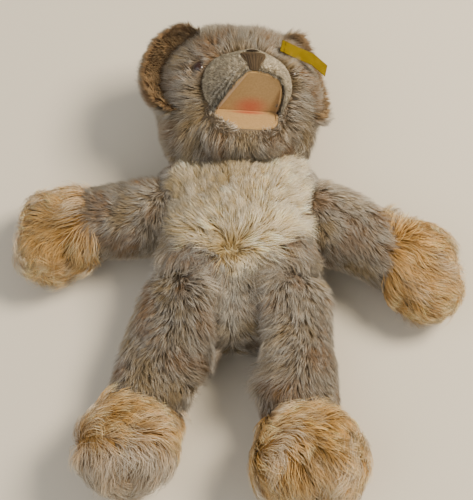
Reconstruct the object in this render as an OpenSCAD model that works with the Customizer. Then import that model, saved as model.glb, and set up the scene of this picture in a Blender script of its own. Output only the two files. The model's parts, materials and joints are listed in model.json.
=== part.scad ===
// Jointed mohair teddy bear, lying on its back with its arms out.
// Frame: +Z is the bear's front, +Y runs towards its head, +X is its left side.
// The origin is under the middle of the bear, on the surface it lies on. Millimetres.

/* [Torso] */
// Width of the torso between the two shoulder joints
torso_w = 86; // [80:1:92]
// Height of the neck joint above the origin, along the spine
neck_y = 52; // [50:1:56]
// Height of the shoulder joints along the spine
shoulder_y = 22; // [18:1:26]
// Height of the hip joints along the spine
hip_y = -38; // [-42:1:-34]
// Width of the seat between the two hip joints
seat_w = 40; // [40:1:46]

/* [Head] */
// Radius of the skull
skull_r = 39; // [36:0.5:40]
// How far the face is turned towards the bear's left, in degrees
head_turn = 9; // [-15:1:15]
// How far the upper lip stands out from the middle of the skull
lip_out = 58; // [54:1:60]
// Diameter of a glass eye
eye_d = 9; // [8:0.5:10]
// Radius of an ear
ear_r = 25; // [22:0.5:27]

/* [Arms and legs] */
// How far the right arm droops from square to the body, in degrees
droop_right = 7; // [4:1:20]
// How far the left arm droops from square to the body, in degrees
droop_left = 25; // [10:1:26]
// How far the right leg is splayed, in degrees
splay_right = 22; // [8:1:24]
// How far the left leg is splayed, in degrees
splay_left = 8; // [0:1:16]
// Length of a leg from its hip joint to the flat of its sole
leg_l = 106; // [100:1:108]
// Length of a leg from its hip joint to the seam of its foot
ankle_l = 63; // [60:1:66]

/* [Joints] */
// Radius of a shoulder or hip disc
limb_disc_r = 12; // [10:0.5:13]
// Radius of a neck disc
neck_disc_r = 11; // [9:0.5:12]
// Radius of a cotter pin's shank
pin_r = 1.2; // [1:0.1:1.5]

/* [Fabric] */
// Thickness of the woven backing with its packed pile
cloth_t = 2; // [1.5:0.1:2.5]
// Thickness of the felt
felt_t = 1.4; // [1:0.1:2]

/* [Hidden] */

big = 400;
ease = 0.2;         // air between a cover and its stuffing
gap = 0.4;          // air between two pieces that turn on each other
disc_t = 2.5;
washer_t = 0.8;
washer_r = 6;
running = 0.05;     // radial clearance of a pin in its disc and washer
centre = [0, 4.43, 0];  // from the origin to where the spine's own zero lies
joint_z = 31;       // height of the shoulder joints above the surface
neck_z = 33;
hip_z = 30;
hip_room_r = 31;    // radius of the hollow in the torso that a thigh turns in
crown_z = cloth_t + disc_t + washer_t + 0.6; // where a pin's ends start to turn over
grey = "#8f8478";
cream = "#cdbd97";
honey = "#c59a5c";
felt = "#d9a468";

// ---- placing -------------------------------------------------------------

// Puts a joint's own frame in place: its +Z points from the torso into the limb.
module at_neck() translate([0, neck_y, neck_z]) rotate([-90, 0, 0]) children();
module at_shoulder(side) translate([side * torso_w / 2, shoulder_y, joint_z])
  rotate([0, side * 90, 0]) children();
module at_hip(side) translate([side * seat_w / 2, hip_y, hip_z]) rotate([0, side * 90, 0]) children();

// The head's own frame: +Z is the way the face looks, +Y is towards the crown.
head_centre = [0, neck_y + skull_r + 4, skull_r + 1.5];
module at_head() translate(head_centre) rotate([0, head_turn, 0]) children();

// Everything beyond a height along the current +Z.
module beyond(z) translate([-big / 2, -big / 2, z]) cube(big);

// The convex form round some balls [x, y, z, r], drawn in by a distance.
module form(balls, inset = 0, fn = 28) hull()
  for (b = balls) translate([b.x, b.y, b.z]) sphere(r = b[3] - inset, $fn = fn);

// ---- disc joint hardware -------------------------------------------------

module disc(r) linear_extrude(disc_t) difference() {
  circle(r = r, $fn = 64);
  circle(r = pin_r + running, $fn = 32);
}
module washer() linear_extrude(washer_t) difference() {
  circle(r = washer_r, $fn = 48);
  circle(r = pin_r + running, $fn = 32);
}
// The limb's own disc and washer lie just inside its cover, the torso's mirror them.
module limb_disc_at(r) translate([0, 0, gap + cloth_t + 0.1]) disc(r);
module limb_washer_at() translate([0, 0, gap + cloth_t + disc_t + 0.2]) washer();
module torso_disc_at(r) translate([0, 0, -cloth_t - disc_t - 0.1]) disc(r);
module torso_washer_at() translate([0, 0, -cloth_t - disc_t - washer_t - 0.2]) washer();

// A cotter pin: an eye inside the limb and two ends turned over on the torso's washer.
module cotter_pin() {
  eye_z = gap + crown_z + 2.9;
  translate([0, 0, -crown_z - 1.2]) cylinder(h = crown_z + eye_z - 1, r = pin_r, $fn = 32);
  translate([0, 0, eye_z]) rotate([90, 0, 0])
    rotate_extrude($fn = 32) translate([2.1, 0]) circle(r = 0.9, $fn = 24);
  for (s = [0, 180]) rotate([0, 0, s]) {
    translate([1.9, 0, -crown_z - 1.2]) rotate([90, 0, 0])
      rotate_extrude(angle = -180, $fn = 32) translate([1.9, 0]) circle(r = 0.9, $fn = 24);
    translate([3.8, 0, -crown_z - 1.2]) cylinder(h = 1, r = 0.9, $fn = 24);
  }
}
// The room that a joint's hardware takes inside a limb, and inside the torso.
module limb_pocket(r) {
  translate([0, 0, -1]) cylinder(h = 1 + gap + cloth_t + disc_t + 0.3, r = r + ease, $fn = 64);
  cylinder(h = gap + crown_z + 6.5, r = washer_r + ease, $fn = 48);
}
module torso_pocket(r) {
  translate([0, 0, -cloth_t - disc_t - 0.3]) cylinder(h = 2 + cloth_t + disc_t, r = r + ease, $fn = 64);
  translate([0, 0, -crown_z - 4.6]) cylinder(h = crown_z + 5, r = washer_r + ease, $fn = 48);
}
module pin_hole() translate([0, 0, -10]) cylinder(h = 20, r = pin_r + 0.3, $fn = 32);

// ---- torso ---------------------------------------------------------------

torso_balls = [
  for (s = [-1, 1]) each [
    [s * (torso_w / 2 - 21), neck_y - 21, 30, 26],
    [s * 16, -6, 30, 31.5],
    [s * 9, hip_y + 5, 28.5, 26],
  ],
  [0, 24, 34, 30],
];

module torso_form(inset = 0, fn = 30) difference() {
  form(torso_balls, inset, fn);
  translate([-big / 2, -big / 2, inset - big]) cube(big);
  at_neck() beyond(-inset);
  for (s = [-1, 1]) {
    at_shoulder(s) beyond(-inset);
    // The hollow for the thigh, open towards the front so that the leg can swing up
    at_hip(s) translate([0, 0, -inset]) cylinder(h = big, r = hip_room_r + inset, $fn = 64);
    translate([s > 0 ? seat_w / 2 - inset : -big - seat_w / 2 + inset, hip_y - big, hip_z])
      cube([big, big + hip_room_r + inset - 5, big]);
  }
}
module torso_joints() {
  at_neck() children();
  for (s = [-1, 1]) {
    at_shoulder(s) children();
    at_hip(s) children();
  }
}
// The cream panel's outline: square at the neck, rounded to a blunt point on the belly.
module chest_outline(grow = 0) offset(delta = grow) hull() {
  translate([-34, neck_y - 12]) square([68, 20]);
  for (s = [-1, 1]) translate([s * 22, 14]) circle(r = 15, $fn = 40);
  translate([0, -4]) circle(r = 13, $fn = 40);
}
module chest_region(grow = 0) translate([0, 0, joint_z + 13]) linear_extrude(big) chest_outline(grow);

module torso_shell() difference() {
  torso_form();
  torso_form(cloth_t, 24);
}
module torso_cover() color(grey) difference() {
  torso_shell();
  chest_region(0.05);
  torso_joints() pin_hole();
}
module chest_panel() color(cream) intersection() {
  torso_shell();
  chest_region();
}
module torso_stuffing() color("wheat") difference() {
  torso_form(cloth_t + ease, 24);
  at_neck() torso_pocket(neck_disc_r);
  for (s = [-1, 1]) {
    at_shoulder(s) torso_pocket(limb_disc_r);
    at_hip(s) torso_pocket(limb_disc_r);
  }
}
module torso_discs() color("saddlebrown") {
  at_neck() torso_disc_at(neck_disc_r);
  for (s = [-1, 1]) {
    at_shoulder(s) torso_disc_at(limb_disc_r);
    at_hip(s) torso_disc_at(limb_disc_r);
  }
}
module torso_washers() color("silver") torso_joints() torso_washer_at();

// ---- head, in the head's own frame ----------------------------------------

skull_balls = [for (s = [-1, 1]) each [[s * 8, 0, 0, skull_r], [s * 15, -20, -4, 28]]];
jaw_balls = [for (s = [-1, 1]) [s * 9, -28, 23, 14.5]];
muzzle_balls = [
  for (s = [-1, 1]) each [[s * 7, -6, 33, 19], [s * 6, -7, lip_out - 15, 14]],
  [0, -3, lip_out - 12, 13],
];
fold = [-20, 30];     // the back of the mouth, as [y, z]
palate_lip = [-8, lip_out];
jaw_lip = [-32, 36];

// The open mouth, grown by the felt's thickness where that is wanted: a wedge, seen from
// the front as a lopsided arch, upright on the bear's left and slanting on its right.
function past(a, b, far) = a + (b - a) / norm(b - a) * far;
arch_rounds = [[-13.5, -23.5, 4.5], [3, -15, 9], [9.5, -15.5, 8.5], [9, -26, 8.5], [-3, -27, 7]]; // x, y, r
module mouth(grow = 0) intersection() {
  translate([-60, 0, 0]) rotate([90, 0, 90]) linear_extrude(120) offset(delta = grow) polygon([
    fold, past(fold, palate_lip, 90), past(fold, jaw_lip, 90) + [0, 60], past(fold, jaw_lip, 90),
  ]);
  translate([0, 0, fold.y - 10]) linear_extrude(90) hull()
    for (c = arch_rounds) translate([c.x, c.y]) circle(r = c[2] + grow, $fn = 28);
}
module above_neck(inset = 0) translate([-big / 2, neck_y + gap + inset - head_centre.y, -big / 2])
  cube(big);

module head_cover() color(grey) at_head() difference() {
  intersection() {
    union() {
      form(skull_balls, 0, 32);
      form(jaw_balls);
    }
    above_neck();
  }
  intersection() {
    union() {
      form(skull_balls, cloth_t, 24);
      form(jaw_balls, cloth_t, 20);
    }
    above_neck(cloth_t);
  }
  form(muzzle_balls, cloth_t, 20);
  mouth(felt_t);
  eye_pockets();
  rotate([0, -head_turn, 0]) translate(-head_centre) at_neck() pin_hole();
}
module muzzle_cover() color("#a59a86") at_head() difference() {
  form(muzzle_balls);
  form(muzzle_balls, cloth_t, 20);
  form(skull_balls, -0.05, 32);
  form(jaw_balls, -0.05);
  mouth(felt_t);
}
module head_stuffing() color("wheat") at_head() difference() {
  intersection() {
    union() {
      form(skull_balls, cloth_t + ease, 24);
      form(jaw_balls, cloth_t + ease, 20);
      form(muzzle_balls, cloth_t + ease, 20);
    }
    above_neck(cloth_t + ease);
  }
  mouth(felt_t + ease);
  eye_pockets();
  rotate([0, -head_turn, 0]) translate(-head_centre) at_neck() limb_pocket(neck_disc_r);
}
// One leaf of the mouth's lining: the layer of its growth on one side of the fold.
module lining(upper) at_head() intersection() {
  difference() {
    mouth(felt_t - 0.05);
    mouth();
  }
  union() {
    form(skull_balls, cloth_t + ease, 24);
    form(jaw_balls, 0.4, 24);
    form(muzzle_balls, 0.4, 24);
  }
  translate([-60, upper ? fold.x + 0.1 : fold.x - 60.1, -60]) cube([120, 60, 160]);
}
module palate_felt() color(felt) lining(true);
module jaw_felt() color(felt) lining(false);

// A low stitched pad on the tip of the muzzle.
module nose_stitching() color("#4a3b30") at_head() difference() {
  intersection() {
    translate([0, -4, 42]) sphere(r = 17.6, $fn = 240);
    translate([0, 0, 50]) linear_extrude(20)
      polygon([[-7, 5.5], [-7, 2], [-1.6, -7], [1.6, -7], [7, 2], [7, 5.5]]);
  }
  form(muzzle_balls, -0.1);
}

eye_place = [28, 4.5, 30.5];
module at_eyes() for (s = [-1, 1]) translate([s * eye_place.x, eye_place.y, eye_place.z]) children();
// A shank points straight back from its eye, into the stuffing.
module eye_pockets() at_eyes() {
  sphere(d = eye_d + 0.2, $fn = 40);
  translate([0, 0, -eye_d / 2 - 5]) cylinder(h = 6, r = 2.2, $fn = 24);
}
module eye(side) color("#3a1d0c") at_head()
  translate([side * eye_place.x, eye_place.y, eye_place.z]) sphere(d = eye_d, $fn = 48);
module eye_shanks() color("silver") at_head() at_eyes() translate([0, 0, -eye_d / 2 - 2.1])
  rotate([90, 0, 0]) rotate_extrude($fn = 32) translate([1.5, 0]) circle(r = 0.5, $fn = 20);

// An ear is a round cup of two layers. Its frame: origin on the skull, +X outwards, +Z to the front.
// The left ear is folded back, the right one stands forward.
function ear_root(side) = side > 0 ? [-30, 9, 6] : [-37, 9, 6];
module at_ear(side) at_head() mirror([side < 0 ? 0 : 1, 0, 0]) translate(ear_root(side))
  rotate([0, 0, 166]) rotate([0, side > 0 ? 32 : -10, 0]) children();
module ear_layer(side, outer, thickness) difference() {
  at_ear(side) intersection() {
    translate([6, 0, 38]) difference() {
      sphere(r = outer, $fn = 96);
      sphere(r = outer - thickness, $fn = 96);
    }
    translate([4, 0, -20]) linear_extrude(40) scale([0.76, 1.1]) circle(r = ear_r, $fn = 64);
  }
  at_head() form(skull_balls, -0.05, 32);
}
module ear_back(side) color(grey) ear_layer(side, 40.5, 2.4);
module ear_lining(side) color("#6d4a2c") ear_layer(side, 38, 1.6);

// A plain ribbon label, bent once, sewn to the skull in front of the left ear.
tag_start = [20, 20, 38];
tag_w = 7.5;
module at_tag() at_head() translate(tag_start) rotate([0, 0, -12]) rotate([0, 25, 0]) children();
module ear_tag() color("#a98c1f") at_tag() translate([0, tag_w / 2, 0]) rotate([90, 0, 0])
  linear_extrude(tag_w) polygon([
    [0, 0], [10, 0.6], [22, 2.2], [36, -2.4], [36, -1.9], [22, 2.7], [10, 1.1], [0, 0.5],
  ]);
module tag_stitch() color("#7d6715") at_tag()
  for (y = [-2.4, 2.4]) translate([2.5, y, 0.98]) rotate([90, 0, 0]) cylinder(h = 2.4, r = 0.3, center = true, $fn = 16);

module neck_disc() color("saddlebrown") at_neck() limb_disc_at(neck_disc_r);
module neck_washer() color("silver") at_neck() limb_washer_at();
module neck_pin() color("gainsboro") at_neck() cotter_pin();

// ---- arms ------------------------------------------------------------------

arm_r = 20;           // radius of an arm at the shoulder
wrist_out = 45;       // from the shoulder joint to the wrist, square to the body
palm_z = 4.5;           // height of the flat palm above the surface
function droop(side) = side > 0 ? droop_left : droop_right;
function arm_point(side, out, down) = [
  side * (torso_w / 2 + out),
  shoulder_y - out * tan(droop(side)) - down,
];
function arm_balls(side) = let (e = arm_point(side, 20, -1), w = arm_point(side, wrist_out + 2, -1)) [
  [e.x, e.y, joint_z, arm_r],
  [w.x, w.y, 28, 18.5],
];
function hand_balls(side) = let (
  w = arm_point(side, wrist_out + 2, -1),
  k = arm_point(side, wrist_out + 18, -3),
  t = arm_point(side, wrist_out + 23, 7)
) [
  [w.x, w.y, 28, 18.5],
  [k.x, k.y, 24, 19.5],
  [t.x, t.y, 22.5, 18],
];
// The arm starts with a round flat end on the torso's side.
module arm_form(side, inset = 0, fn = 24) hull() {
  at_shoulder(side) translate([0, 0, gap + inset]) cylinder(h = 6, r = arm_r - inset, $fn = fn);
  for (b = arm_balls(side)) translate([b.x, b.y, b.z]) sphere(r = b[3] - inset, $fn = fn);
}
// All that lies further out than the wrist's seam.
module past_wrist(side) at_shoulder(side) beyond(wrist_out);
module arm_cover(side) color(grey) difference() {
  arm_form(side);
  arm_form(side, cloth_t, 20);
  past_wrist(side);
  at_shoulder(side) pin_hole();
}
module hand_form(side, inset, fn) difference() {
  form(hand_balls(side), inset, fn);
  translate([-big / 2, -big / 2, palm_z + inset - big]) cube(big);
}
module hand_cover(side) color(honey) intersection() {
  difference() {
    hand_form(side, 0, 24);
    hand_form(side, cloth_t, 20);
  }
  at_shoulder(side) beyond(wrist_out + 0.05);
}
module paw_pad(side) let (k = arm_point(side, wrist_out + 19, 3)) color(felt)
  translate([k.x, k.y, palm_z - felt_t - 0.05]) cylinder(h = felt_t, r = 13, $fn = 48);
module arm_stuffing(side) color("wheat") difference() {
  union() {
    difference() {
      arm_form(side, cloth_t + ease, 20);
      past_wrist(side);
    }
    intersection() {
      hand_form(side, cloth_t + ease, 20);
      at_shoulder(side) beyond(wrist_out);
    }
  }
  at_shoulder(side) limb_pocket(limb_disc_r);
}

// ---- legs ------------------------------------------------------------------

thigh_r = 29.5;
function splay(side) = side > 0 ? splay_left : splay_right;
// How far the ankle's seam and the sole lie from the hip joint, along the spine
function ankle_down(side) = ankle_l * cos(splay(side));
function sole_down(side) = leg_l * cos(splay(side));
function leg_x(side, down) = side * (seat_w / 2 + (side > 0 ? 8 : 13) + down * tan(splay(side)));
function leg_balls(side) = let (a = ankle_down(side)) [
  [leg_x(side, 0) + side * 2, hip_y + 3, 29, 21.5],
  [leg_x(side, a - 12), hip_y - a + 12, 24, 20],
  [leg_x(side, a), hip_y - a, 23, 19.5],
];
function foot_balls(side) = let (a = ankle_down(side), d = sole_down(side), wide = side > 0 ? 11 : 8) [
  [leg_x(side, a), hip_y - a, 23, 19.5],
  [leg_x(side, d - 18), hip_y - d + 18, 22, 21],
  for (s = [-1, 1]) [leg_x(side, d - 18) + s * wide, hip_y - d + 17, 39, 18.5],
];
module leg_form(side, inset = 0, fn = 24) difference() {
  hull() {
    at_hip(side) translate([0, 0, gap + inset]) cylinder(h = 8, r = thigh_r - inset, $fn = fn);
    for (b = leg_balls(side)) translate([b.x, b.y, b.z]) sphere(r = b[3] - inset, $fn = fn);
  }
  // A cone keeps the thigh clear of the seat over all of its turn
  at_hip(side) translate([0, 0, gap + inset - big])
    cylinder(h = big, r1 = hip_room_r + 5 + big, r2 = hip_room_r + 5, $fn = 64);
  translate([-big / 2, -big / 2, inset - big]) cube(big);
}
module past_ankle(down) translate([-big / 2, hip_y - down - big, -big / 2]) cube(big);
module leg_cover(side) color(grey) difference() {
  leg_form(side);
  leg_form(side, cloth_t, 20);
  past_ankle(ankle_down(side));
  at_hip(side) pin_hole();
}
module foot_form(side, inset, fn) difference() {
  form(foot_balls(side), inset, fn);
  past_ankle(sole_down(side) - inset);
  translate([-big / 2, -big / 2, inset - big]) cube(big);
}
module foot_cover(side) color(honey) intersection() {
  difference() {
    foot_form(side, 0, 24);
    foot_form(side, cloth_t, 20);
  }
  past_ankle(ankle_down(side) + 0.05);
}
// The sole is a felt oval on the flat underside of the foot.
module sole(side) color(felt) translate([leg_x(side, sole_down(side) - 18), hip_y - sole_down(side) - 0.05, 0])
  rotate([90, 0, 0]) linear_extrude(felt_t) hull() {
    translate([0, 20]) circle(r = 11.5, $fn = 48);
    translate([0, 34]) circle(r = 12.5, $fn = 48);
  }
module leg_stuffing(side) color("wheat") difference() {
  union() {
    difference() {
      leg_form(side, cloth_t + ease, 20);
      past_ankle(ankle_down(side));
    }
    intersection() {
      foot_form(side, cloth_t + ease, 20);
      past_ankle(ankle_down(side));
    }
  }
  at_hip(side) limb_pocket(limb_disc_r);
}

module placed() translate(centre) children();

placed() torso_cover();
placed() chest_panel();
placed() torso_stuffing();
placed() torso_discs();
placed() torso_washers();
placed() head_cover();
placed() muzzle_cover();
placed() head_stuffing();
placed() palate_felt();
placed() jaw_felt();
placed() nose_stitching();
placed() eye(1);  // eye_left
placed() eye(-1);  // eye_right
placed() eye_shanks();
placed() ear_back(1);  // ear_back_left
placed() ear_back(-1);  // ear_back_right
placed() ear_lining(1);  // ear_lining_left
placed() ear_lining(-1);  // ear_lining_right
placed() ear_tag();
placed() tag_stitch();
placed() neck_disc();
placed() neck_washer();
placed() neck_pin();
for (limb = [["left", 1], ["right", -1]]) let (name = limb[0], side = limb[1]) {
  placed() arm_cover(side);
  placed() hand_cover(side);
  placed() paw_pad(side);
  placed() arm_stuffing(side);
  placed() color("saddlebrown") at_shoulder(side) limb_disc_at(limb_disc_r);
  placed() color("silver") at_shoulder(side) limb_washer_at();
  placed() color("gainsboro") at_shoulder(side) cotter_pin();
  placed() leg_cover(side);
  placed() foot_cover(side);
  placed() sole(side);
  placed() leg_stuffing(side);
  placed() color("saddlebrown") at_hip(side) limb_disc_at(limb_disc_r);
  placed() color("silver") at_hip(side) limb_washer_at();
  placed() color("gainsboro") at_hip(side) cotter_pin();
}
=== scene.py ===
"""A jointed mohair teddy bear on its back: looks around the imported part.

The CAD covers are kept as the woven backing, and the pile grows on them as real tapered strands.
Lengths are in millimetres until a mesh is made. Left and right are the bear's own.
"""

import json
import math

import bmesh
import bpy
import numpy as np
from mathutils import Matrix, Vector, noise
from mathutils.bvhtree import BVHTree
from mathutils.kdtree import KDTree


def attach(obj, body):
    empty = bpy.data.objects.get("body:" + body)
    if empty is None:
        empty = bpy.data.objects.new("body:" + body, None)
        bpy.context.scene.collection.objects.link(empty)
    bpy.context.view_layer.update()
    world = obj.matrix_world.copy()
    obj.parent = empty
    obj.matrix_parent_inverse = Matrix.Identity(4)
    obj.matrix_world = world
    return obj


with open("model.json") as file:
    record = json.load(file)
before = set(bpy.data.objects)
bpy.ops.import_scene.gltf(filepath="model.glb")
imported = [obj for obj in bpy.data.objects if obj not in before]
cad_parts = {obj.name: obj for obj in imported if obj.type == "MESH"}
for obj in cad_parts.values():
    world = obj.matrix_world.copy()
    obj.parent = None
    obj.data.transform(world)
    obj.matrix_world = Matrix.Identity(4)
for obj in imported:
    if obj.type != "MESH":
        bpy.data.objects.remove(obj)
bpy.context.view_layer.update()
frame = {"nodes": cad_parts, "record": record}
nodes = frame["nodes"]
LEFT, RIGHT = 1, -1
SIDES = (("left", LEFT), ("right", RIGHT))
HEAD = np.array([0, 99.4, 40.5])  # middle of the skull
TURN = math.radians(9)  # the face looks a little to the bear's left


def in_head(x, y, z):
    """A point of the head's own frame, in the row frame."""
    c, s = math.cos(TURN), math.sin(TURN)
    return HEAD + np.array([x * c + z * s, y, z * c - x * s])


# ---- materials --------------------------------------------------------------


def linear(hex_colour):
    """A hex sRGB colour, as linear red, green and blue."""
    rgb = [int(hex_colour[i : i + 2], 16) / 255 for i in (1, 3, 5)]
    return np.array([v / 12.92 if v <= 0.04045 else ((v + 0.055) / 1.055) ** 2.4 for v in rgb])


def add(tree, kind, links=(), **settings):
    """A node with its settings, and with (input, other node's output) links."""
    n = tree.nodes.new(kind)
    for key, value in settings.items():
        if key in n.inputs:
            n.inputs[key].default_value = value
        else:
            setattr(n, key, value)
    for name, out in links:
        tree.links.new(out, n.inputs[name])
    return n


def material(name, colour="#808080", roughness=0.8, metallic=0.0, sheen=0.0, specular=0.5):
    """A Principled material, its node tree and its shader."""
    m = bpy.data.materials.new(name)
    m.use_nodes = True
    m.diffuse_color = (*linear(colour), 1)
    p = m.node_tree.nodes["Principled BSDF"]
    for key, value in (
        ("Base Color", (*linear(colour), 1)),
        ("Roughness", roughness),
        ("Metallic", metallic),
        ("Sheen Weight", sheen),
        ("Specular IOR Level", specular),
    ):
        p.inputs[key].default_value = value
    return m, m.node_tree, p


def pile_material(name, colour, roughness=0.42, sheen=0.0, specular=0.45):
    """Mohair: each strand brings its own colours, darker at the root, in its attribute."""
    m, tree, p = material(name, colour, roughness, 0, sheen, specular)
    own = add(tree, "ShaderNodeAttribute", attribute_name="pile")
    tree.links.new(own.outputs["Color"], p.inputs["Base Color"])
    return m


TAUPE = pile_material("mohair_taupe_grey", "#7f705b")
CREAM = pile_material("mohair_cream", "#c9bc9e", roughness=0.38, specular=0.5)
HONEY = pile_material("mohair_honey_long", "#b08a55", roughness=0.34, specular=0.55)
CLIPPED = pile_material("mohair_beige_clipped", "#8a7a60", roughness=0.7, specular=0.2)
EAR_BROWN = pile_material("mohair_brown_short", "#59462f", roughness=0.65)


def grained(name, colours, size, rough=(0.75, 0.95), depth=0.1, stretch=(1, 1, 1), **settings):
    """Colour, roughness and bump that follow one noise. size and depth are the grain's, in millimetres."""
    m, tree, p = material(name, colours[0], **settings)
    at = add(tree, "ShaderNodeTexCoord").outputs["Object"]
    along = add(tree, "ShaderNodeMapping", [("Vector", at)], Scale=stretch)
    grain = add(tree, "ShaderNodeTexNoise", [("Vector", along.outputs[0])], Scale=1000 / size, Detail=3.0)
    finish_from(tree, p, grain.outputs["Fac"], colours, rough, depth)
    return m


def woven(name, colours, thread, rough=(0.8, 0.98), depth=0.15, **settings):
    """Plain weave: two sets of threads at right angles, thread millimetres apart, and uneven yarn."""
    m, tree, p = material(name, colours[0], **settings)
    at = add(tree, "ShaderNodeTexCoord").outputs["Object"]
    uneven = add(tree, "ShaderNodeTexNoise", [("Vector", at)], Scale=1000 / (thread * 9), Detail=4.0)
    # A wave texture has 20 / (2 pi) bands to the metre at scale 1
    scale = 2 * math.pi / 20 / (thread / 1000)
    sets = [
        add(
            tree, "ShaderNodeTexWave", [("Vector", at)], bands_direction=way, Scale=scale, Distortion=1.2,
        ).outputs["Fac"]
        for way in ("X", "DIAGONAL")
    ]
    over = add(tree, "ShaderNodeMath", [(0, sets[0]), (1, sets[1])], operation="MULTIPLY")
    both = add(tree, "ShaderNodeMath", [(0, over.outputs[0]), (1, uneven.outputs["Fac"])], operation="ADD")
    half = add(tree, "ShaderNodeMath", [(0, both.outputs[0])], operation="MULTIPLY")
    half.inputs[1].default_value = 0.65
    finish_from(tree, p, half.outputs[0], colours, rough, depth)
    return m


def finish_from(tree, p, height, colours, rough, depth):
    """Links a height from 0 to 1 to the colour, the roughness and the bump of a material."""
    shade = add(tree, "ShaderNodeMix", [("Factor", height)], data_type="RGBA")
    shade.inputs["A"].default_value = (*linear(colours[0]), 1)
    shade.inputs["B"].default_value = (*linear(colours[1]), 1)
    tree.links.new(shade.outputs["Result"], p.inputs["Base Color"])
    wear = add(tree, "ShaderNodeMapRange", [("Value", height)])
    wear.inputs["To Min"].default_value, wear.inputs["To Max"].default_value = rough
    tree.links.new(wear.outputs["Result"], p.inputs["Roughness"])
    bump = add(tree, "ShaderNodeBump", [("Height", height)], Strength=0.7, Distance=depth / 1000)
    tree.links.new(bump.outputs["Normal"], p.inputs["Normal"])
    return shade


# Plain woven cotton under the pile: matt threads that only show where the hair parts
BACKING = {
    slot: woven(f"cotton_backing_{name}", colours, 0.7, specular=0.1)
    for slot, name, colours in (
        ("grey_mohair", "taupe", ("#54483a", "#7d6d58")),
        ("cream_mohair", "straw", ("#8a7750", "#b8a478")),
        ("honey_mohair", "honey", ("#765629", "#a07c48")),
        ("clipped_beige_mohair", "beige", ("#6e624e", "#988a70")),
        ("brown_ear_lining", "brown", ("#2c1f13", "#443222")),
    )
}


def felt_material():
    """Wool felt: matt, matted fibres, tan, with a red tint sprayed on along the fold of the mouth."""
    m, tree, p = material("wool_felt_tan_airbrushed", "#c79a64", sheen=0.15, specular=0.1)
    at = add(tree, "ShaderNodeTexCoord").outputs["Object"]
    fibres = add(tree, "ShaderNodeTexNoise", [("Vector", at)], Scale=1000 / 1.1, Detail=5.0)
    base = finish_from(tree, p, fibres.outputs["Fac"], ("#8d7145", "#b99462"), (0.85, 1.0), 0.12)
    colour = base.outputs["Result"]
    # A soft cloud of tint over the fold, and a thin deep line in it
    for middle, spread, strength, hue in (
        ((2, -19.5, 37), (0.0125, 0.0048, 0.014), 0.72, "#b5402a"),
        ((0.5, -21.6, 36), (0.0145, 0.0012, 0.014), 0.75, "#8c2a18"),
    ):
        place = add(tree, "ShaderNodeMapping", [("Vector", at)])
        place.inputs["Scale"].default_value = [1 / v for v in spread]
        place.inputs["Location"].default_value = [-c / 1000 / v for c, v in zip(in_head(*middle), spread)]
        far = add(tree, "ShaderNodeVectorMath", [(0, place.outputs[0])], operation="LENGTH")
        fade = add(tree, "ShaderNodeMapRange", [("Value", far.outputs["Value"])])
        fade.interpolation_type = "SMOOTHSTEP"
        for key, value in (("From Min", 0.1), ("From Max", 1.15), ("To Min", strength), ("To Max", 0.0)):
            fade.inputs[key].default_value = value
        links = [("Factor", fade.outputs["Result"]), ("A", colour)]
        red = add(tree, "ShaderNodeMix", links, data_type="RGBA")
        red.inputs["B"].default_value = (*linear(hue), 1)
        colour = red.outputs["Result"]
    tree.links.new(colour, p.inputs["Base Color"])
    return m


FELT = felt_material()
# Cotton floss of the nose: worn dull, so the plies show as fine grain
NOSE = grained("cotton_floss_worn_brown", ("#33281a", "#5f4f3a"), 1.2, stretch=(3, 0.6, 3), specular=0.15)
NOSE_DARK = grained("cotton_floss_dark", ("#1d1710", "#3b2f22"), 0.8, stretch=(3, 0.6, 3), specular=0.2)
# Blown glass: near black brown, polished, so it only shows as a dark spot with a highlight
EYE = grained(
    "glass_dark_brown_polished", ("#1c0c06", "#341a0c"), 4, rough=(0.05, 0.09), depth=0.01, specular=0.6
)
# Woven cotton ribbon, mustard, soft with age
RIBBON = woven("cotton_ribbon_mustard", ("#473a06", "#8f7612"), 0.6, depth=0.1, specular=0.05)
RIBBON_THREAD = grained("cotton_thread_mustard", ("#5c4708", "#806614"), 0.5, specular=0.1)
# Wood wool: thin pale shavings packed tight
STUFFING = grained("wood_wool_packed", ("#9d8555", "#dccaa0"), 2.5, depth=0.5, stretch=(1, 0.25, 1))
# Pressed board: dull brown with flat fibres
BOARD = grained("pressed_board_brown", ("#4a3320", "#6f5036"), 1.5, depth=0.08)
# Zinc-plated steel: satin grey with a faint spangle
ZINC = grained("steel_zinced", ("#85888c", "#abadb0"), 2.5, rough=(0.32, 0.5), depth=0.02, metallic=1)
# Drawn steel wire: bright, with fine lines along it
WIRE = grained("steel_wire_drawn", ("#7d7e82", "#9c9da0"), 0.5, rough=(0.22, 0.36), depth=0.01, metallic=1)
BY_SLOT = dict(
    BACKING,
    tan_felt=FELT,
    worn_nose_thread=NOSE,
    brown_glass=EYE,
    mustard_ribbon=RIBBON,
    mustard_thread=RIBBON_THREAD,
    stuffing=STUFFING,
    hardboard=BOARD,
    zinced_steel=ZINC,
    steel_wire=WIRE,
)
for part in frame["record"]["subparts"]:
    mesh = nodes[part["node"]].data
    mesh.materials.clear()
    mesh.materials.append(BY_SLOT[part["material_slot"]])

# ---- where the pile grows -----------------------------------------------------


def surface(node):
    """A CAD node's vertices in millimetres, and its triangles."""
    mesh = nodes[node].data
    mesh.calc_loop_triangles()
    v = np.empty(len(mesh.vertices) * 3, np.float32)
    mesh.vertices.foreach_get("co", v)
    t = np.empty(len(mesh.loop_triangles) * 3, np.int32)
    mesh.loop_triangles.foreach_get("vertices", t)
    return v.reshape(-1, 3).astype(float) * 1000, t.reshape(-1, 3)


def tree_of(names):
    """One tree of the faces of those nodes, in millimetres."""
    verts, tris, start = [], [], 0
    for name in names:
        v, t = surface(name)
        verts.append(v)
        tris.append(t + start)
        start += len(v)
    return BVHTree.FromPolygons(np.concatenate(verts).tolist(), np.concatenate(tris).tolist())


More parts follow.
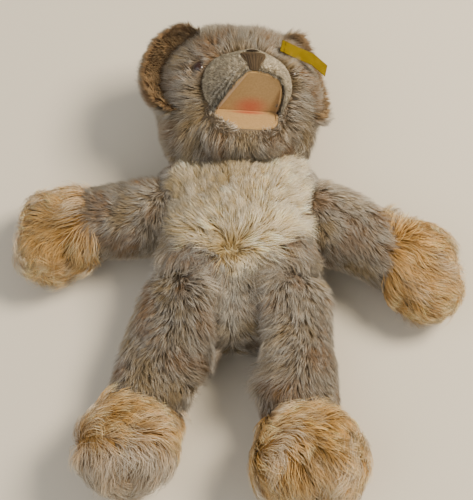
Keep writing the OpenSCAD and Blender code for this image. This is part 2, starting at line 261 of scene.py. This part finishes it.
SOLIDS = tree_of(nodes)
FELTS = tree_of(("palate_felt", "jaw_felt"))


def from_felt(p):
    """How far each point is from the felt of the mouth."""
    return np.array([FELTS.find_nearest(Vector(q))[3] for q in p])


def unit(v):
    """Vectors along the last axis, brought to length 1."""
    return v / np.maximum(np.linalg.norm(v, axis=-1, keepdims=True), 1e-9)


REACH = 7  # a neighbour this near covers the cloth
STUFFING_GAP = 0.5  # the stuffing is nearer than this to the inner side of its cover
OFF_THE_CLOTH = 0.06  # where a ray starts, clear of its own face
UNDERSIDE = -0.35  # the upward part of a normal, below which half of the pile grows
TRIES = 12


def roots(node, count, rng, keep, covered=False):
    """Points and normals on the outside of a node: its open part, or the part that its neighbours cover."""
    low, high = (STUFFING_GAP, REACH) if covered else (REACH, math.inf)
    v, t = surface(node)
    a, b, c = v[t[:, 0]], v[t[:, 1]], v[t[:, 2]]
    cross = np.cross(b - a, c - a)
    area = np.linalg.norm(cross, axis=1)
    cross = unit(cross)
    points, normals, found = [], [], 0
    # Shells have an inner side too, so more points are drawn than are needed
    for _ in range(TRIES):
        pick = rng.choice(len(t), count, p=area / area.sum())
        u, w = rng.random((2, count))
        flip = u + w > 1
        u[flip], w[flip] = 1 - u[flip], 1 - w[flip]
        p = a[pick] + (b - a)[pick] * u[:, None] + (c - a)[pick] * w[:, None]
        n = cross[pick]
        chosen = np.nonzero(keep(p, n) & (rng.random(count) < np.where(n[:, 2] < UNDERSIDE, 0.5, 1)))[0]
        gaps = [SOLIDS.ray_cast(Vector(p[i] + n[i] * OFF_THE_CLOTH), Vector(n[i]), REACH)[3] for i in chosen]
        chosen = [i for i, gap in zip(chosen, gaps) if low < (math.inf if gap is None else gap) <= high]
        points.append(p[chosen])
        normals.append(n[chosen])
        found += len(chosen)
        if found >= count:
            break
    return np.concatenate(points)[:count], np.concatenate(normals)[:count]


def nearest(tree_points, queries, k):
    """The numbers of the k points nearest to each query."""
    tree = KDTree(len(tree_points))
    for i, p in enumerate(tree_points):
        tree.insert(p, i)
    tree.balance()
    return np.array([[hit[1] for hit in tree.find_n(q, k)] for q in queries])


def wander(points, size, seed):
    """Smooth noise from about -1 to 1 at each point."""
    return np.array([noise.noise(Vector(p / size) + Vector((seed, seed * 1.7, 0))) for p in points]) * 1.8


WAVE_LENGTH = 22  # of the mohair's own crimp
ROOT_DEPTH = 0.3  # how far a strand starts inside the cloth
FLOOR_GAP = 0.35  # strands are held at least this far above the floor
LOCK_TONE, STRAND_TONE = 0.22, 0.13  # how much the tone varies, as the spread of its logarithm


def paths(p, n, t, length, steps, lift, wave, phase, sag):
    """Each strand's points: it leaves the cloth at lift[0] degrees and ends at lift[1]."""
    side = unit(np.cross(n, t))
    line, at = [p], p
    for i in range(1, steps + 1):
        s = (i - 0.5) / steps
        up = math.radians(lift[0] * (1 - s) + lift[1] * s)
        d = unit(n * math.sin(up) + t * math.cos(up) - np.array([0, 0, sag * s]))
        at = at + d * length[:, None] / steps
        line.append(at)
    out = np.stack(line, 1)
    s = np.linspace(0, 1, steps + 1)
    turns = 2 * np.pi * s[None] * length[:, None] / WAVE_LENGTH + phase[:, None]
    out = out + side[:, None] * (wave * np.sin(turns) * s[None])[..., None]
    return out + n[:, None] * (0.4 * wave * np.cos(turns) * s[None])[..., None]


def strand_mesh(name, line, radius, colours, rng):
    """Three-sided tapered strands along the lines (strands, points, 3), closed at both ends."""
    count, rings = len(line), line.shape[1] - 1
    s = np.linspace(0, 1, rings + 1)
    d = unit(np.gradient(line, axis=1))
    u = unit(np.cross(d, rng.normal(size=(count, 1, 3))))
    w = np.cross(d, u)
    size = radius[:, None] * (1 - s[:-1]) ** 0.55
    corners = []
    for k in range(3):
        a = k * 2 * math.pi / 3
        corners.append(line[:, :-1] + (u[:, :-1] * math.cos(a) + w[:, :-1] * math.sin(a)) * size[..., None])
    ring = np.stack(corners, 2).reshape(count, rings * 3, 3)
    verts = np.concatenate([ring, line[:, -1:]], 1)
    each = rings * 3 + 1
    base = np.arange(count)[:, None, None] * each
    quads = [
        [3 * r + k, 3 * r + (k + 1) % 3, 3 * r + 3 + (k + 1) % 3, 3 * r + 3 + k]
        for r in range(rings - 1)
        for k in range(3)
    ]
    quads = np.array(quads, int).reshape(-1, 4)
    tip = 3 * (rings - 1)
    tris = np.array([[tip + k, tip + (k + 1) % 3, each - 1] for k in range(3)] + [[2, 1, 0]])
    quads, tris = (base + quads).reshape(-1, 4), (base + tris).reshape(-1, 3)
    mesh = bpy.data.meshes.new(name)
    mesh.vertices.add(count * each)
    mesh.vertices.foreach_set("co", (verts.reshape(-1) / 1000).astype(np.float32))
    loops = np.concatenate([quads.ravel(), tris.ravel()]).astype(np.int32)
    mesh.loops.add(len(loops))
    mesh.loops.foreach_set("vertex_index", loops)
    first = np.concatenate([np.arange(len(quads)) * 4, len(quads) * 4 + np.arange(len(tris)) * 3])
    mesh.polygons.add(len(first))
    mesh.polygons.foreach_set("loop_start", first.astype(np.int32))
    mesh.update(calc_edges=True)
    mesh.polygons.foreach_set("use_smooth", np.ones(len(first), bool))
    along = np.concatenate([np.repeat(colours[:, :-1], 3, axis=1), colours[:, -1:]], 1)
    rgba = np.concatenate([along, np.ones((count, each, 1))], 2)
    own = mesh.color_attributes.new("pile", "FLOAT_COLOR", "POINT")
    own.data.foreach_set("color", rgba.reshape(-1).astype(np.float32))
    return mesh


def grow(
    name, node, body, count, length, comb, palette, finish, seed, slot,
    lift=(52, 14), steps=3, radius=0.24, lock=4.5, clump=0.65, wave=0.0, swirl=0.5, sag=0.25, frizz=0.0,
    keep=lambda p, n: np.ones(len(p), bool), trim=None, patch=None, ruffle=0.35, covered=False,
):
    """Pile of that length on a node, in locks.

    comb gives the way it lies. palette has the colours of its root, middle and tip, and patch changes them.
    lock is the width of a lock, and clump how far its strands close on their guide.
    wave is the height of the crimp. swirl turns locks in smooth groups, ruffle turns locks and strands at
    random, and frizz spreads the tips.
    """
    rng = np.random.default_rng(seed)
    p, n = roots(node, count, rng, keep, covered)
    count = len(p)
    # Guides: one for each lock of hair
    per_lock = max(4, int(count / max(1, area_of(p) / lock**2)))
    g = rng.choice(count, max(8, count // per_lock), replace=False)
    around = nearest(p, p[g], min(40, count))
    gn = unit(n[around].mean(1))
    gt = comb(p[g], gn)
    gt = unit(gt - gn * (gt * gn).sum(1, keepdims=True))
    angle = (wander(p[g], 19, seed) * swirl + rng.normal(0, ruffle * 0.5, len(g)))[:, None]
    gt = gt * np.cos(angle) + np.cross(gn, gt) * np.sin(angle)
    near = nearest(p[g], p, 3)
    own = near[:, 0]
    weight = 1 / (np.linalg.norm(p[g][near] - p[:, None], axis=2) + 0.6)
    weight /= weight.sum(1, keepdims=True)
    sn = unit((gn[near] * weight[..., None]).sum(1))
    st = (gt[near] * weight[..., None]).sum(1) + rng.normal(0, ruffle * 0.45, (count, 3))
    st = unit(st - sn * (st * sn).sum(1, keepdims=True))
    size = length * (1 + 0.22 * wander(p[g], 14, seed + 3)[own]) * rng.uniform(0.72, 1.12, count)
    if trim is not None:
        size = size * trim(p)
    g_size = np.bincount(own, size, len(g)) / np.maximum(np.bincount(own, minlength=len(g)), 1)
    phase = rng.uniform(0, 2 * math.pi, len(g))
    guide = paths(p[g], gn, gt, g_size, steps, lift, wave, phase, sag)
    own_phase = phase[own] + rng.normal(0, 0.3, count)
    line = paths(p - sn * ROOT_DEPTH, sn, st, size, steps, lift, wave, own_phase, sag)
    s = np.linspace(0, 1, steps + 1)
    hold = rng.uniform(0.55, 1.0, count) * clump
    pull = (hold[:, None] * s[None] ** 1.15)[..., None]
    aim = guide[own] + (p - p[g][own])[:, None] * 0.3
    line = line * (1 - pull) + aim * pull
    stray = rng.normal(0, frizz, (count, 1, 3))
    # The part of a stray that points into the cloth is taken off it
    inward = np.minimum((stray * sn[:, None]).sum(2, keepdims=True), 0)
    line = line + (stray - sn[:, None] * inward) * (s**1.6)[:, None]
    line[..., 2] = np.maximum(line[..., 2], FLOOR_GAP + rng.uniform(0, 1.2, count)[:, None])
    # Colour: root, middle and tip, with a tone for each lock and each strand
    stops = np.array([linear(c) for c in palette])
    x = s * 2
    i = np.minimum(x.astype(int), 1)
    ramp = stops[i] * (1 - (x - i))[:, None] + stops[i + 1] * (x - i)[:, None]
    tone = np.exp(rng.normal(0, STRAND_TONE, count) + rng.normal(0, LOCK_TONE, len(g))[own])
    colours = ramp[None] * tone[:, None, None]
    if patch is not None:
        lot = rng.random(len(g))[own]
        colours = patch(p, colours, s, wander(p[g], 17, seed + 9)[own], lot)
    thickness = radius * rng.uniform(0.75, 1.15, count)
    mesh = strand_mesh(name, line, thickness, np.clip(colours, 0.004, 0.95), rng)
    mesh.materials.append(finish)
    obj = bpy.data.objects.new(name, mesh)
    bpy.context.scene.collection.objects.link(obj)
    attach(obj, body)
    return obj


def area_of(p):
    """A rough area of the surface that the points lie on, from how far apart they are."""
    few = p[:: max(1, len(p) // 300)]
    gaps = nearest(p, few, 5)[:, 4]
    r = np.linalg.norm(p[gaps] - few, axis=1)
    return float(len(p) * np.pi * np.mean(r**2) / 4.5)


def away_from(centre):
    """A comb that points away from a place."""
    return lambda p, n: p - np.array(centre)


RUST, STRAW, SILVER, WHITE = (linear(c) for c in ("#8a6231", "#a98d58", "#c9c4b8", "#ebe4d2"))


def tint(colours, colour, amount):
    """Mixes a colour in by an amount for each strand, or for each point of each strand."""
    amount = amount[:, None, None] if amount.ndim == 1 else amount[..., None]
    return colours * (1 - amount) + colour * amount


def grey_patches(p, colours, s, drift, lot):
    """Rust and straw showing at the roots, silver at the tips of every fourth lock."""
    rust = np.clip(drift * 1.3 - 0.05 + (lot - 0.5) * 0.5, 0, 0.8)[:, None] * (1 - 0.5 * s)
    colours = tint(colours, RUST, rust)
    colours = tint(colours, STRAW, np.clip(-drift * 1.1 - 0.25, 0, 0.5))
    return tint(colours, SILVER, (lot < 0.25)[:, None] * s**1.3 * 0.85)


def honey_patches(p, colours, s, drift, lot):
    """Whitish locks among the honey ones."""
    white = np.clip(drift * 0.7 + (lot < 0.27) * 0.45, 0, 0.65)
    return tint(colours, WHITE, white[:, None] * (0.25 + 0.75 * s))


def cream_patches(p, colours, s, drift, lot):
    """Straw roots in places, and white locks."""
    straw = np.clip(0.1 + drift + (lot - 0.5) * 0.5, 0, 0.75)
    colours = tint(colours, STRAW, straw[:, None] * (1 - 0.5 * s))
    return tint(colours, WHITE, (lot < 0.3)[:, None] * s * 0.6)


GREY_PILE = ("#5d4c35", "#998970", "#cfc8ba")
CREAM_PILE = ("#a17d3c", "#dcc389", "#fbf3df")
HONEY_PILE = ("#856029", "#c79b56", "#efdaaa")
MUZZLE_PILE = ("#7c6e56", "#a3967c", "#c3b8a1")
EAR_PILE = ("#43301c", "#7a5e3b", "#9a835f")
BODY = dict(steps=2, radius=0.17, lock=2.3, clump=0.6, lift=(44, 13), ruffle=0.6, frizz=0.6)
LONG = dict(
    steps=4, wave=1.8, swirl=0.85, clump=0.84, lock=3.4, radius=0.17, lift=(46, -42), sag=0.1, frizz=0.6,
    ruffle=0.6,
)
SPLIT = -0.15  # the upward part of a normal, where the pile in front meets that behind


def front(p, n):
    """Cloth that faces up or sideways as the bear lies."""
    return n[:, 2] > SPLIT


def behind(p, n):
    """Cloth that faces the floor as the bear lies."""
    return n[:, 2] <= SPLIT


grey = dict(palette=GREY_PILE, finish=TAUPE, slot="grey_mohair", patch=grey_patches, **BODY)
honey = dict(palette=HONEY_PILE, finish=HONEY, slot="honey_mohair", **LONG)


def blend(low, high, t):
    """From one direction to another as t goes from 0 to 1."""
    t = np.clip(t, 0, 1)[:, None]
    return np.asarray(low, float) * (1 - t) + np.asarray(high, float) * t


def torso_comb(p, n):
    """Down from the chest, and out over the thighs on both sides of the centre seam."""
    x = p[:, 0] + 4
    sideways = np.sign(x) * np.clip(np.abs(x) / 9, 0.3, 1.1)
    out = np.stack([sideways, np.full(len(x), -0.75), np.full(len(x), 0.1)], 1)
    down = np.stack([x * 0.015, -np.ones(len(x)), np.full(len(x), -0.1)], 1)
    return blend(down, out, (2 - p[:, 1]) / 22)


def over_hips(p):
    """Longer where the pile has to hide the gap between the seat and the thighs."""
    return 1 + 0.5 * np.clip((np.abs(p[:, 0]) - 8) / 8, 0, 1) * np.clip((2 - p[:, 1]) / 14, 0, 1)


def belly_patches(p, colours, s, drift, lot):
    """Pale tufts along the seam under the chest."""
    colours = grey_patches(p, colours, s, drift, lot)
    along = np.clip((p[:, 1] + 54) / 12, 0, 1) * np.clip((4 - p[:, 1]) / 10, 0, 1)
    return tint(colours, WHITE, (np.exp(-((p[:, 0] + 5) ** 2) / 20) * along)[:, None] * s * 0.85)


grow(
    "pile_belly", "torso_cover", "torso", 16600, 11, torso_comb, seed=11, keep=front, trim=over_hips,
    **dict(grey, patch=belly_patches),
)


def beside_thighs(p, n):
    """The lower torso where it faces up, on both sides of its middle."""
    return (n[:, 2] > 0.5) & (np.abs(p[:, 0]) > 7) & (p[:, 1] < 8) & (p[:, 1] > -40)


# Long locks that lie over the seams between the seat and the thighs
grow(
    "pile_groin", "torso_cover", "torso", 3600, 18, torso_comb, seed=14, keep=beside_thighs,
    **dict(grey, lift=(40, -6), steps=3, wave=1.4),
)
grow("pile_back", "torso_cover", "torso", 5000, 10, torso_comb, seed=12, keep=behind, **grey)


def chest_comb(p, n):
    """A fan from low in the panel, with tufts that point down along its lower edge."""
    fan = unit((p - np.array([-4, -4, 60])) * (1, 1, 0)) + np.array([0.12, 0.05, 0])
    return blend(fan, (0.1, -1, 0), (-5 - p[:, 1] + 2.5 * np.sin(p[:, 0] * 0.8)) / 4)


def chest_trim(p):
    """Longer along the upper edge, under the chin, and at the lower corners, which it rounds out."""
    corners = np.clip((np.abs(p[:, 0]) - 12) / 8, 0, 1) * np.clip((18 - p[:, 1]) / 12, 0, 1)
    return 1 + 0.5 * np.clip((p[:, 1] - 50) / 10, 0, 1) + 0.6 * corners


grow(
    "pile_chest", "chest_panel", "torso", 10200, 13.5, chest_comb, CREAM_PILE, CREAM, 13,
    "cream_mohair", steps=3, patch=cream_patches, swirl=0.6, clump=0.75, lift=(44, 10), radius=0.2,
    wave=1.6, frizz=0.7, lock=2.9, ruffle=0.6, trim=chest_trim,
)


# Places on the head
muzzle_root = in_head(0, -8, 30)
right_eye = in_head(-28, 4.5, 30.5)
mouth_middle = in_head(0, -20, 42)
TAG = in_head(20, 20, 38), in_head(52, 12, 22)  # the label lies along the line between them


def from_line(p, a, b):
    """How far each point is from the line between a and b."""
    t = np.clip(((p - a) @ (b - a)) / ((b - a) @ (b - a)), 0, 1)
    return np.linalg.norm(p - a - t[:, None] * (b - a), axis=1)


def face_trim(p):
    """Shorter round the eye that shows, next to the muzzle and under the label, longer at the crown."""
    at_eye = np.linalg.norm(p - right_eye, axis=1)
    lip = np.linalg.norm(p - in_head(0, -12, 33), axis=1)
    label = from_line(p, *TAG)
    size = 1 + 0.35 * np.clip((p[:, 1] - HEAD[1] - 18) / 14, 0, 1)
    size = size * np.clip(from_felt(p) / 5, 0.35, 1) * np.clip((at_eye - 2) / 9, 0.35, 1)
    return size * np.clip((lip - 14) / 14, 0.5, 1) * np.clip((label - 2) / 10, 0.35, 1)


def head_comb(p, n):
    """Out from the muzzle on all sides, but in over the felt's edge, to both sides of the mouth's middle."""
    corner = np.clip((np.abs(p[:, 0] - mouth_middle[0]) - 5) / 5, 0, 1)
    near = (np.clip((4.5 - from_felt(p)) / 2, 0, 1) * corner)[:, None]
    return unit((p - muzzle_root) * (1, 1, 0.8)) * (1 - near) + unit(in_head(0, -20, 48) - p) * near


grow("pile_face", "head_cover", "head", 18000, 12.5, head_comb, seed=21, keep=front, trim=face_trim, **grey)
grow("pile_nape", "head_cover", "head", 5000, 11, away_from((0, 99, 80)), seed=22, keep=behind, **grey)


def muzzle_patches(p, colours, s, drift, lot):
    """Thin rows along the mouth's right edge, where dark roots show between pale tips."""
    gap = from_felt(p)
    near = np.clip((8 - gap) / 4, 0, 1) * np.clip((6 - p[:, 0]) / 8, 0, 1)
    rows = 0.5 + 0.5 * np.sin(gap * 2 * math.pi / 2.1 + wander(p, 5, 4))
    colours = tint(colours, 0, (near * rows * 0.8)[:, None] * (1 - 0.7 * s))
    colours = tint(colours, WHITE, (near * (1 - rows) * 0.6)[:, None] * s)
    # The edge itself is dark all round the mouth
    colours = tint(colours, 0, (np.clip((2.2 - gap) / 1.2, 0, 1) * 0.75)[:, None] * (1 - 0.5 * s))
    return colours * (1 + 0.1 * drift[:, None, None])


EDGE = 3.2  # nearer to the felt than this, the muzzle's pile turns over it


def muzzle_comb(p, n):
    """Away from the mouth, but over its very edge, where the pile hides the cut felt."""
    edge = np.clip((EDGE - from_felt(p)) / 1.2, 0, 1)[:, None]
    return unit(p - in_head(0, -14, 58)) * (1 - edge) + unit(mouth_middle - p) * edge


def muzzle_trim(p):
    """Longer at the edge of the mouth, to reach over the felt."""
    return 1 + 0.7 * np.clip((EDGE - from_felt(p)) / 1.5, 0, 1)


grow(
    "pile_muzzle", "muzzle_cover", "head", 12000, 2.1, muzzle_comb, MUZZLE_PILE, CLIPPED, 23,
    "clipped_beige_mohair", lift=(72, 42), steps=2, radius=0.19, lock=1.6, clump=0.3, swirl=0.2,
    patch=muzzle_patches, trim=muzzle_trim,
)


def ear_rim_and_crease_shade(p, colours, s, drift, lot):
    """Lighter rust brown towards the rim, and darker next to the skull: painted shade of the crease there.
    """
    out = np.clip((np.linalg.norm(p - in_head(0, 6, 10), axis=1) - 41) / 14, 0, 1)[:, None, None]
    # Near the skull the factor drops to 0.35: painted shade in the crease between ear and head
    return colours * (0.35 + 0.85 * out)


from_skull = away_from(in_head(0, 0, 22))
for name, side in SIDES:
    grow(
        f"pile_ear_back_{name}", f"ear_back_{name}", "head", 3200, 8, from_skull, seed=31 + side,
        **dict(grey, lift=(38, 16)),
    )
    grow(
        f"pile_ear_lining_{name}", f"ear_lining_{name}", "head", 3000, 4.5, from_skull, EAR_PILE, EAR_BROWN,
        35 + side, "brown_ear_lining", steps=2, lift=(48, 24), radius=0.18, lock=2.5, clump=0.3, frizz=0.4,
        patch=ear_rim_and_crease_shade,
    )


# The way the pile lies on each limb
def right_arm(p, n):
    """Away from one place, and out to the side and down."""
    return (p - np.array([-50, 30, 52])) * (1, 1, 0.4) + np.array([-6, -8, 0])


def left_arm(p, n):
    """Away from one place, and out to the side and down."""
    return (p - np.array([48, 34, 52])) * (1, 1, 0.4) + np.array([6, -6, 0])


CROTCH = np.array([-3, -62, 46])


def leg_comb(side):
    """From the inner side of the thigh over the seat to the crotch, and down the leg further out."""

    def comb(p, n):
        to_crotch = unit((CROTCH - p) * (1, 1, 0.2)) + (0, -0.35, 0)
        down = np.tile(np.array([side * 0.2, -1, -0.1]), (len(p), 1))
        inner = np.clip((44 - np.abs(p[:, 0])) / 14, 0, 1) * np.clip((p[:, 1] + 88) / 16, 0, 1)
        return down * (1 - inner[:, None]) + to_crotch * inner[:, None]

    return comb


def over_seat(p):
    """Longer on the inner side of the thigh and at its top, where it hides the gap beside the seat."""
    inner = np.clip((36 - np.abs(p[:, 0])) / 10, 0, 1) * np.clip((p[:, 1] + 84) / 12, 0, 1)
    return 1 + 0.75 * inner * np.clip((p[:, 2] - 18) / 14, 0, 1)


def right_hand(p, n):
    """A mop: out and a little up at the top, down and a little out below."""
    return blend((-0.35, -1, 0), (-1, 0.35, 0.1), (p[:, 1] - 8) / 20)


def left_hand(p, n):
    """Out from a crease beside the wrist, and up into a wisp at its inner corner."""
    out = blend((0.75, -0.9, 0), (1, 0.2, 0.1), (p[:, 1] + 16) / 30)
    wisp = (np.clip((99 - p[:, 0]) / 5, 0, 1) * np.clip((p[:, 1] - 2) / 8, 0, 1))[:, None]
    return out * (1 - wisp) + np.array([-0.2, 1, 0.2]) * wisp


def right_foot(p, n):
    """Swept across in an arc, and down over the sole at the end."""
    across = np.stack([np.ones(len(p)), -0.1 - (p[:, 0] + 64) * 0.03, np.zeros(len(p))], 1)
    return blend(across, (0.35, -1, -0.6), (-108 - p[:, 1]) / 14)


def left_foot(p, n):
    """Swept to the bear's left and down, and over the sole at the end."""
    return blend((0.85, -0.5, 0), (0.15, -1, -0.6), (-117 - p[:, 1]) / 9)


def over_sole(p):
    """Longer at the end of the foot, where it hangs over the sole."""
    return 1 + 0.35 * np.clip((-122 - p[:, 1]) / 8, 0, 1)


def right_foot_patches(p, colours, s, drift, lot):
    """The lower half of this foot is whitish grey."""
    colours = honey_patches(p, colours, s, drift, lot)
    low = np.clip((-110 - p[:, 1]) / 8 + (lot - 0.5) * 0.6, 0, 1) * np.clip((p[:, 2] - 8) / 12, 0, 1)
    return tint(colours, SILVER, low[:, None] * (0.3 + 0.4 * s))


for name, side in SIDES:
    right = side == RIGHT
    grow(
        f"pile_arm_{name}", f"arm_cover_{name}", f"arm_{name}", 9000, 10.5, right_arm if right else left_arm,
        seed=41 + side, **grey,
    )
    grow(
        f"pile_hand_{name}", f"hand_cover_{name}", f"arm_{name}", 5000, 22,
        right_hand if right else left_hand, seed=51 + side, patch=honey_patches, **honey,
    )
    grow(
        f"pile_leg_{name}", f"leg_cover_{name}", f"leg_{name}", 13600, 10.5, leg_comb(side), seed=61 + side,
        trim=over_seat, **grey,
    )
    grow(
        f"pile_foot_{name}", f"foot_cover_{name}", f"leg_{name}", 5600, 21,
        right_foot if right else left_foot, seed=71 + side, trim=over_sole,
        patch=right_foot_patches if right else honey_patches, **honey,
    )

# Short pile where one piece lies on another, which shows when a joint turns
covered_cloth = [("torso_cover", "torso", 4000), ("head_cover", "head", 3500)]
for name, _ in SIDES:
    for limb, count in (("arm", 1500), ("leg", 3000)):
        covered_cloth.append((f"{limb}_cover_{name}", f"{limb}_{name}", count))
for i, (node, body, count) in enumerate(covered_cloth):
    grow(
        f"undercoat_{node}", node, body, count, 3.2, away_from((0, 30, 40)), seed=81 + i, covered=True,
        **dict(grey, steps=1, lift=(32, 32), radius=0.24, frizz=0.2),
    )

# ---- nose ------------------------------------------------------------------------


def thread(b, a, c, bow, radius, finish=0):
    """One stitch from a to c, bowed out by bow in its middle, that tapers where it goes into the cloth."""
    half = Vector((c - a) / 2)
    turn = half.to_track_quat("Z", "Y").to_matrix().to_4x4()
    place = Matrix.Translation((a + c) / 2) @ turn @ Matrix.Diagonal((radius, radius, half.length, 1))
    made = bmesh.ops.create_uvsphere(b, u_segments=8, v_segments=9, radius=1)["verts"]
    for v in made:
        v.co = (place @ v.co + Vector(bow) * (1 - v.co.z**2)) / 1000
    for f in {f for v in made for f in v.link_faces}:
        f.material_index, f.smooth = finish, True


def nose_height(x, y):
    """The front of the nose: a ball of radius 17.6 round (0, -4, 42) in the head's frame."""
    return 42 + math.sqrt(max(0.0, 17.6**2 - x * x - (y + 4) ** 2))


STITCHES = 27
NOSE_HALF = 7.4  # half of the nose's width along its top


def nose():
    """A worn block of upright stitches, narrower at its lower end, with a bar stitch along its top."""
    rng = np.random.default_rng(5)
    b = bmesh.new()
    for i in range(STITCHES):
        x = -NOSE_HALF + 2 * NOSE_HALF * i / (STITCHES - 1)
        edge = abs(x) / NOSE_HALF
        low = (-7.4 if edge < 0.75 else -7.4 + (edge - 0.75) * 34) + rng.uniform(-0.7, 0.7)
        high = 5.4 - 1.2 * edge**3 + rng.uniform(-0.5, 0.5)
        if rng.random() < 0.22:
            low += rng.uniform(1.5, 5)
        squeeze = 0.5
        a = in_head(x, high, nose_height(x, high) - 0.1)
        c = in_head(x * squeeze, low, nose_height(x * squeeze, low) - 0.1)
        middle = x * (1 + squeeze) / 2, (high + low) / 2
        bow = in_head(*middle, nose_height(*middle) + 0.12) - (a + c) / 2
        thread(b, a, c, bow, 0.34, finish=int(rng.random() < 0.18))
    # The dark bar stitch that the worn nose still has along its top
    thread(b, in_head(-4.2, 6.6, 55.6), in_head(3.4, 6.9, 55.5), in_head(0, 0, 0.9) - HEAD, 0.6, finish=1)
    mesh = bpy.data.meshes.new("nose_threads")
    bmesh.ops.recalc_face_normals(b, faces=b.faces)
    b.to_mesh(mesh)
    b.free()
    mesh.materials.append(NOSE)
    mesh.materials.append(NOSE_DARK)
    obj = bpy.data.objects.new("nose_threads", mesh)
    bpy.context.scene.collection.objects.link(obj)
    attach(obj, "head")


nose()

# ---- stage ---------------------------------------------------------------------

floor = bpy.data.meshes.new("floor")
b = bmesh.new()
bmesh.ops.create_grid(b, x_segments=1, y_segments=1, size=2)
b.to_mesh(floor)
b.free()
floor = bpy.data.objects.new("floor", floor)
floor.location.z = -0.0003
# Plain pale painted board
floor.data.materials.append(material("painted_board_pale", "#d2c8b4", roughness=0.8)[0])
bpy.context.scene.collection.objects.link(floor)


def lamp(name, place, size, power, colour):
    """A square lamp at that place in metres, turned to the origin."""
    light = bpy.data.lights.new(name, "AREA")
    light.size, light.energy, light.color = size, power, linear(colour)
    obj = bpy.data.objects.new(name, light)
    obj.location = place
    obj.rotation_euler = (-Vector(place)).to_track_quat("-Z", "Y").to_euler()
    bpy.context.scene.collection.objects.link(obj)


lamp("window", (0.8, 0.3, 1.2), 0.5, 36, "#fff3e2")
lamp("room", (-0.9, -0.5, 1.2), 1.6, 11, "#f2f2fa")
world = bpy.data.worlds.new("soft_room")
world.use_nodes = True
world.node_tree.nodes["Background"].inputs["Color"].default_value = (*linear("#e6e6e2"), 1)
world.node_tree.nodes["Background"].inputs["Strength"].default_value = 0.6
bpy.context.scene.world = world

camera = bpy.data.cameras.new("camera")
camera.sensor_width = 36
camera.lens = 36 / 2 / math.tan(math.radians(18.5) / 2)
eye = bpy.data.objects.new("camera", camera)
tilt, distance, target = math.radians(72), 0.925, Vector((-0.001, 0.0055, 0.030))
eye.location = target + Vector((0, -math.cos(tilt), math.sin(tilt))) * distance
eye.rotation_euler = (math.pi / 2 - tilt, 0, 0)
bpy.context.scene.collection.objects.link(eye)
bpy.context.scene.camera = eye
